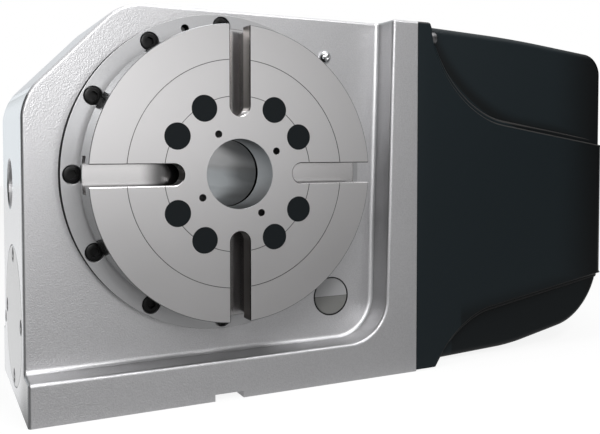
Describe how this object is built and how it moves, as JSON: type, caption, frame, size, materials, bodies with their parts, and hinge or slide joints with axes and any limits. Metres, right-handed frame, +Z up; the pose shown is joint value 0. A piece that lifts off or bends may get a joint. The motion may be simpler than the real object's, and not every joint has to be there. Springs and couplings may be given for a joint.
{
  "type": "cnc rotary table",
  "caption": "Vertical CNC rotary table: T-slotted faceplate with through bore on a grey cast housing, worm drive and brake inside, black moulded motor cover at the side.",
  "frame": {"origin": "on the spindle axis at the faceplate's front face", "axes": "+X towards the motor cover, +Y along the spindle into the table, +Z up from the foot"},
  "size_m": [0.43, 0.148, 0.234],
  "materials": {
    "casting_paint": "light grey textured paint",
    "flange_paint": "smooth light grey paint",
    "black_steel": "black oxide",
    "ground_steel": "ground",
    "plug_plastic": "satin",
    "bearing_steel": "lapped",
    "hard_steel": "turned and hardened",
    "bronze": "machined",
    "brake_iron": "machined",
    "seal_rubber": "matte",
    "fitting_brass": "machined",
    "plated_metal": "bright plate",
    "clear_glass": "clear",
    "plate_aluminium": "milled",
    "motor_black": "semi-matte",
    "cover_plastic": "satin moulded"
  },
  "bodies": {
    "base": {"casting": "casting_paint", "bearing_flange": "flange_paint", "worm_end_cover": "flange_paint", "flange_screws": "black_steel", "rear_cover_screws": "black_steel", "worm_end_screws": "black_steel", "cover_screws": "plated_metal", "mount_screws": "black_steel", "motor_screws": "black_steel", "side_port_plug": "black_steel", "drain_plug": "black_steel", "bearing_outer_rings": "bearing_steel", "rear_bearing_outer": "bearing_steel", "worm_bearing_outers": "bearing_steel", "brake_cylinder": "brake_iron", "spindle_seal": "seal_rubber", "worm_seal": "seal_rubber", "rear_cover": "flange_paint", "brake_fitting": "fitting_brass", "oil_glass_bezel": "plated_metal", "oil_glass_lens": "clear_glass", "ball_oiler": "plated_metal", "motor_mount": "plate_aluminium", "motor_body": "motor_black", "motor_encoder": "motor_black", "motor_connectors": "plug_plastic", "motor_cover": "cover_plastic"},
    "table": {"faceplate": "ground_steel", "faceplate_screws": "black_steel", "faceplate_plugs": "plug_plastic", "spindle": "ground_steel", "bearing_inner_ring": "bearing_steel", "worm_wheel": "bronze", "wheel_screws": "black_steel", "brake_disc": "hard_steel", "disc_screws": "black_steel", "rear_bearing_inner": "bearing_steel", "spindle_lock_nut": "hard_steel"},
    "worm": {"worm_shaft": "hard_steel", "worm_bearing_inners": "bearing_steel", "worm_lock_nut": "hard_steel", "worm_gear": "hard_steel", "gear_nut": "hard_steel"},
    "motor_rotor": {"motor_shaft": "hard_steel", "motor_pinion": "hard_steel"},
    "main_rollers": {"bearing_rollers": "bearing_steel"},
    "rear_rollers": {"rear_bearing_rollers": "bearing_steel"},
    "worm_rollers": {"worm_bearing_rollers": "bearing_steel"},
    "piston": {"brake_piston": "brake_iron", "piston_seals": "seal_rubber"}
  },
  "joints": [
    {"name": "table_spin", "type": "hinge", "parent": "base", "child": "table", "pos_m": [0, 0, 0], "axis": [0, 1, 0], "continuous": true},
    {"name": "worm_spin", "type": "hinge", "parent": "base", "child": "worm", "pos_m": [0, 0.085, -0.0865], "axis": [1, 0, 0], "continuous": true},
    {"name": "motor_spin", "type": "hinge", "parent": "base", "child": "motor_rotor", "pos_m": [0.15, 0.085, -0.0325], "axis": [1, 0, 0], "continuous": true},
    {"name": "main_rollers_orbit", "type": "hinge", "parent": "base", "child": "main_rollers", "pos_m": [0, 0, 0], "axis": [0, 1, 0], "continuous": true},
    {"name": "rear_rollers_orbit", "type": "hinge", "parent": "base", "child": "rear_rollers", "pos_m": [0, 0, 0], "axis": [0, 1, 0], "continuous": true},
    {"name": "worm_rollers_orbit", "type": "hinge", "parent": "base", "child": "worm_rollers", "pos_m": [0, 0.085, -0.0865], "axis": [1, 0, 0], "continuous": true},
    {"name": "brake_press", "type": "slide", "parent": "base", "child": "piston", "axis": [0, -1, 0], "range_m": [0, 0.0006]}
  ],
  "couplings": [
    {"joint": "worm_spin", "follows": "table_spin", "ratio": 60},
    {"joint": "motor_spin", "follows": "table_spin", "ratio": -120},
    {"joint": "main_rollers_orbit", "follows": "table_spin", "ratio": 0.4759},
    {"joint": "rear_rollers_orbit", "follows": "table_spin", "ratio": 0.4709},
    {"joint": "worm_rollers_orbit", "follows": "table_spin", "ratio": 25.333}
  ]
}
